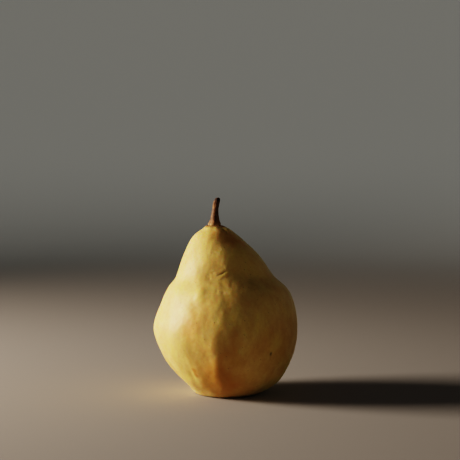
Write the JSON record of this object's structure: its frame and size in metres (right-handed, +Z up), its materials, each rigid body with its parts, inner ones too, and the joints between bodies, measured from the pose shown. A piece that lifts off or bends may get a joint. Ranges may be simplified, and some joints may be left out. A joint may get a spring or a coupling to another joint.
{
  "type": "pear",
  "caption": "Whole ripe pear with a short curved woody stem and a dried calyx, standing upright on its blunt end, for still-life sets, fruit bowls, kitchens and grocery scenes.",
  "frame": {"origin": "on the surface that the pear stands on, under the middle of its box, 1.5 mm to the +X side of the middle of the ring that it rests on", "axes": "+Z up, from the calyx to the stem; -Y the pear's front; +X the side with the fuller shoulder, away from which the neck leans"},
  "size_m": [0.0757, 0.0757, 0.1033],
  "materials": {
    "skin": "waxy skin of a ripe pear, soft sheen, straw yellow mottled with ochre and olive",
    "bark": "dry fruit stem, red-brown, paler and fleshy at the foot, dark at the tip",
    "dried_calyx": "withered, dark brown, dull"
  },
  "bodies": {
    "root": {"fruit": "skin", "stem": "bark", "sepal_1": "dried_calyx", "sepal_2": "dried_calyx", "sepal_3": "dried_calyx", "sepal_4": "dried_calyx", "sepal_5": "dried_calyx", "stamens": "dried_calyx"}
  },
  "joints": []
}
